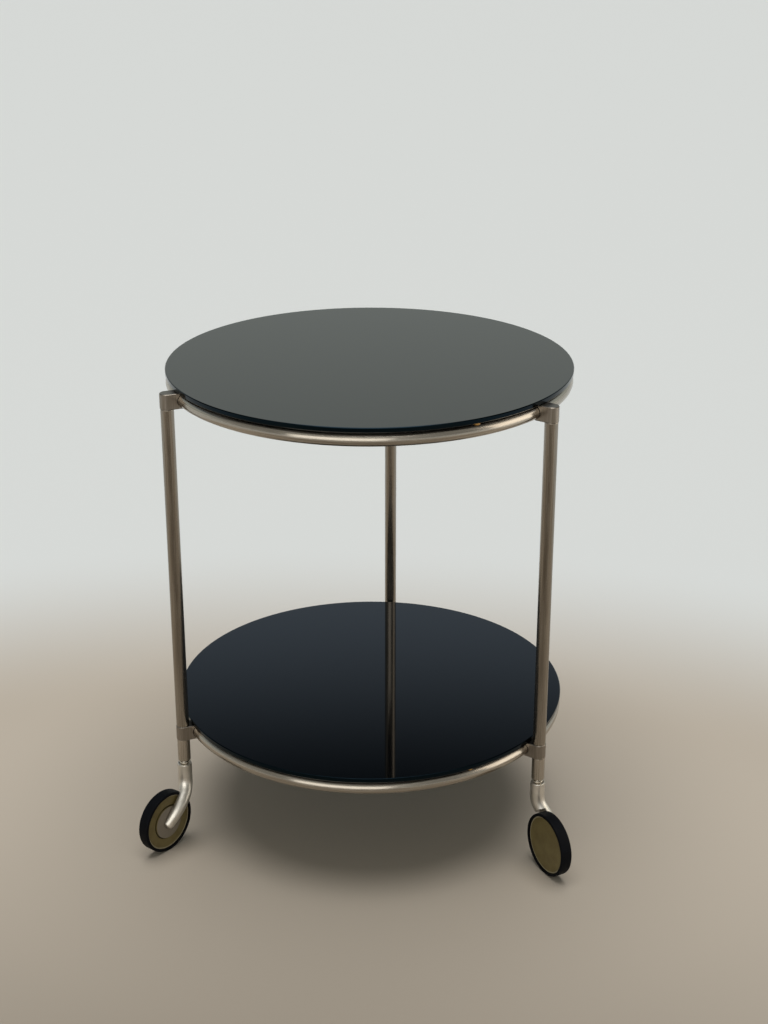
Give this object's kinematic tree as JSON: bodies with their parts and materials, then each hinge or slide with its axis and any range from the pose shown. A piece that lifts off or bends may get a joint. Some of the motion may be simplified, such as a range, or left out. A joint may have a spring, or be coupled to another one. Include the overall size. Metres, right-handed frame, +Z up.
{
  "type": "rolling side table",
  "caption": "Round two-tier side table: black glass discs on nickel tube rings, tube legs outside the rings, and a swivel caster under each leg.",
  "frame": {"origin": "on the floor, on the upright axis through the centre of both rings", "axes": "+Z up, +Y towards the rear leg, +X to the right seen from the front"},
  "size_m": [0.5408, 0.515, 0.608],
  "materials": {
    "black_glass": "polished black glass",
    "satin_nickel": "satin nickel plate on steel tube",
    "cast_nickel": "satin nickel plate on a casting",
    "bright_nickel": "bright nickel plate",
    "zinc_steel": "zinc-plated steel",
    "clear_pad": "aged clear vinyl, amber",
    "socket_plastic": "moulded black plastic",
    "wheel_plastic": "moulded olive-brown plastic, low sheen",
    "bush_plastic": "natural moulded bearing plastic",
    "tyre_rubber": "soft black rubber"
  },
  "bodies": {
    "frame": {"top_glass": "black_glass", "top_ring": "satin_nickel", "top_glass_pads": "clear_pad", "top_ring_screws": "zinc_steel", "top_saddle_washers": "socket_plastic", "lower_glass": "black_glass", "lower_ring": "satin_nickel", "lower_glass_pads": "clear_pad", "lower_ring_screws": "zinc_steel", "lower_saddle_washers": "socket_plastic", "right_top_bracket": "satin_nickel", "right_leg_tube": "satin_nickel", "right_lower_bracket": "satin_nickel", "right_leg_stub": "satin_nickel", "right_stem_socket": "socket_plastic", "rear_top_bracket": "satin_nickel", "rear_leg_tube": "satin_nickel", "rear_lower_bracket": "satin_nickel", "rear_leg_stub": "satin_nickel", "rear_stem_socket": "socket_plastic", "left_top_bracket": "satin_nickel", "left_leg_tube": "satin_nickel", "left_lower_bracket": "satin_nickel", "left_leg_stub": "satin_nickel", "left_stem_socket": "socket_plastic"},
    "right_caster": {"right_caster_arm": "cast_nickel", "right_caster_stem": "zinc_steel", "right_grip_ring": "zinc_steel", "right_neck_washer": "bright_nickel", "right_axle": "zinc_steel"},
    "right_wheel": {"right_wheel_core": "wheel_plastic", "right_wheel_bush": "bush_plastic", "right_wheel_cover": "wheel_plastic", "right_tyre": "tyre_rubber"},
    "rear_caster": {"rear_caster_arm": "cast_nickel", "rear_caster_stem": "zinc_steel", "rear_grip_ring": "zinc_steel", "rear_neck_washer": "bright_nickel", "rear_axle": "zinc_steel"},
    "rear_wheel": {"rear_wheel_core": "wheel_plastic", "rear_wheel_bush": "bush_plastic", "rear_wheel_cover": "wheel_plastic", "rear_tyre": "tyre_rubber"},
    "left_caster": {"left_caster_arm": "cast_nickel", "left_caster_stem": "zinc_steel", "left_grip_ring": "zinc_steel", "left_neck_washer": "bright_nickel", "left_axle": "zinc_steel"},
    "left_wheel": {"left_wheel_core": "wheel_plastic", "left_wheel_bush": "bush_plastic", "left_wheel_cover": "wheel_plastic", "left_tyre": "tyre_rubber"}
  },
  "joints": [
    {"name": "right_caster_swivel", "type": "hinge", "parent": "frame", "child": "right_caster", "pos_m": [0.22343, -0.129, 0.109], "axis": [0, 0, 1], "continuous": true},
    {"name": "right_wheel_spin", "type": "hinge", "parent": "right_caster", "child": "right_wheel", "pos_m": [0.24075, -0.16075, 0.04], "axis": [0.829, 0.5592, 0], "continuous": true},
    {"name": "rear_caster_swivel", "type": "hinge", "parent": "frame", "child": "rear_caster", "pos_m": [0, 0.258, 0.109], "axis": [0, 0, 1], "continuous": true},
    {"name": "rear_wheel_spin", "type": "hinge", "parent": "rear_caster", "child": "rear_wheel", "pos_m": [-0.0034, 0.222, 0.04], "axis": [1, 0, 0], "continuous": true},
    {"name": "left_caster_swivel", "type": "hinge", "parent": "frame", "child": "left_caster", "pos_m": [-0.22343, -0.129, 0.109], "axis": [0, 0, 1], "continuous": true},
    {"name": "left_wheel_spin", "type": "hinge", "parent": "left_caster", "child": "left_wheel", "pos_m": [-0.2454, -0.15773, 0.04], "axis": [0.848, -0.5299, 0], "continuous": true}
  ]
}
